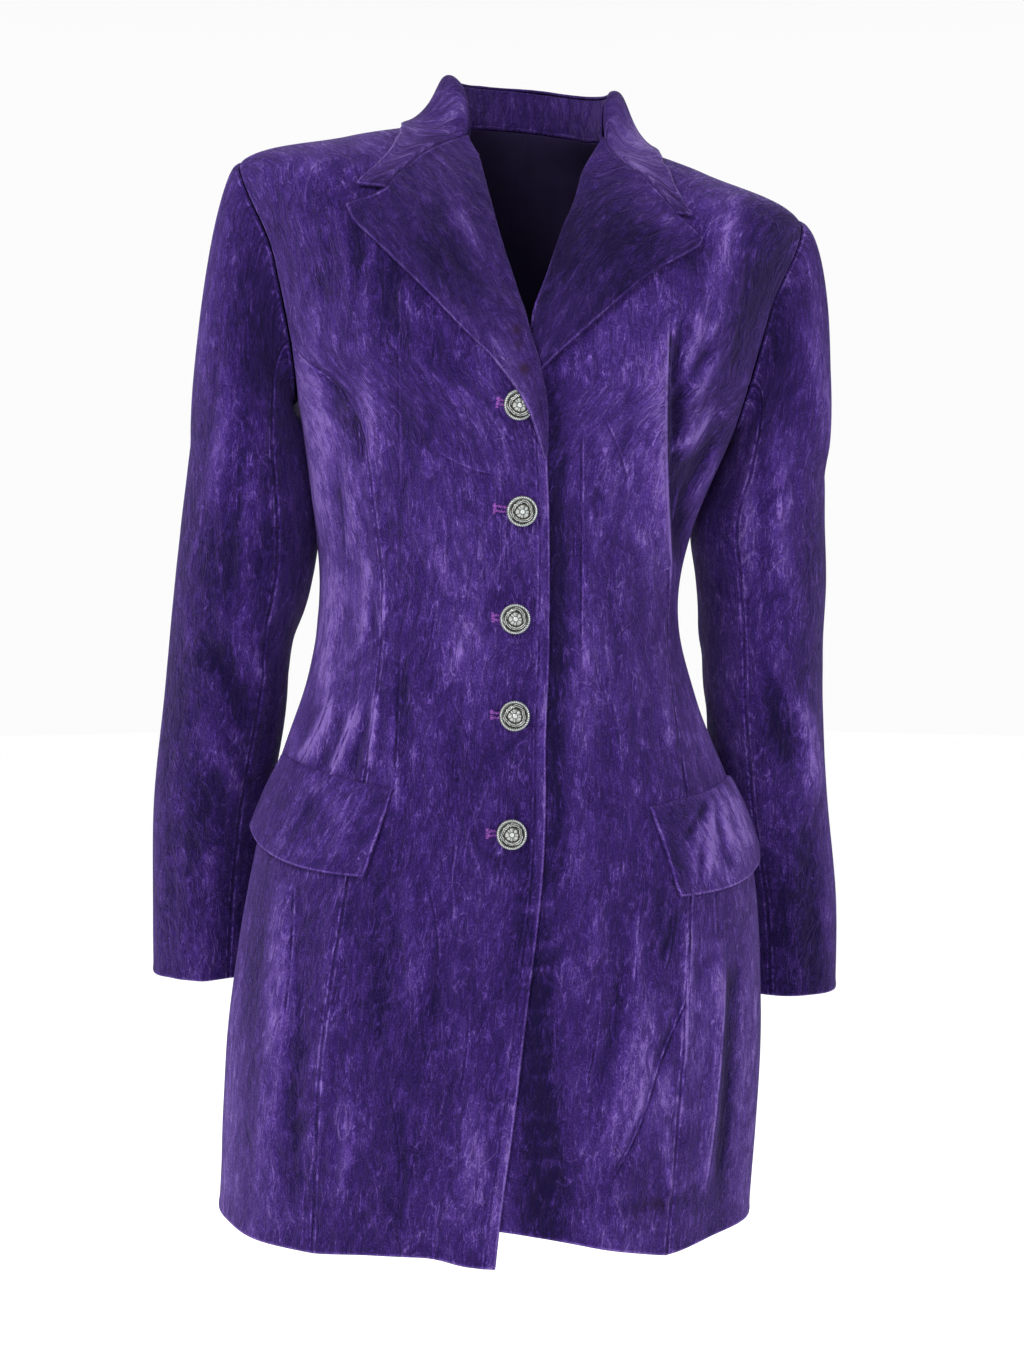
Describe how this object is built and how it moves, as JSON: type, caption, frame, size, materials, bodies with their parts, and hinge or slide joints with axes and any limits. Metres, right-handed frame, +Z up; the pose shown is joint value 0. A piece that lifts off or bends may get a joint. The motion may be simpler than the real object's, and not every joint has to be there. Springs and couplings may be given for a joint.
{
  "type": "velvet blazer",
  "caption": "Long fitted single-breasted velvet blazer in its worn shape, with notched lapels, fold collar, flap pockets, two-piece sleeves and domed metal buttons.",
  "frame": {"origin": "middle of the neck at the height of the shoulder line, where the wearer's neck and shoulders carry the garment", "axes": "+Z up, +X towards the wearer's left, +Y towards the wearer's back, so the buttoned front faces -Y"},
  "size_m": [0.5755, 0.3002, 0.8911],
  "materials": {
    "velvet": "deep violet crushed velvet, matt pile with a bright sheen at grazing angles",
    "collar_velvet": "the same violet velvet on the lapels and the collar",
    "button_metal": "antique silver, raised parts polished and recesses dark"
  },
  "bodies": {
    "root": {"right_front": "velvet", "left_front": "velvet", "right_side_front": "velvet", "left_side_front": "velvet", "right_side_back": "velvet", "left_side_back": "velvet", "right_back": "velvet", "left_back": "velvet", "right_lapel": "collar_velvet", "left_lapel": "collar_velvet", "collar_fall": "collar_velvet", "collar_stand": "collar_velvet", "right_flap": "velvet", "left_flap": "velvet", "right_top_sleeve": "velvet", "left_top_sleeve": "velvet", "right_under_sleeve": "velvet", "left_under_sleeve": "velvet", "button_1": "button_metal", "button_2": "button_metal", "button_3": "button_metal", "button_4": "button_metal", "button_5": "button_metal"}
  },
  "joints": []
}
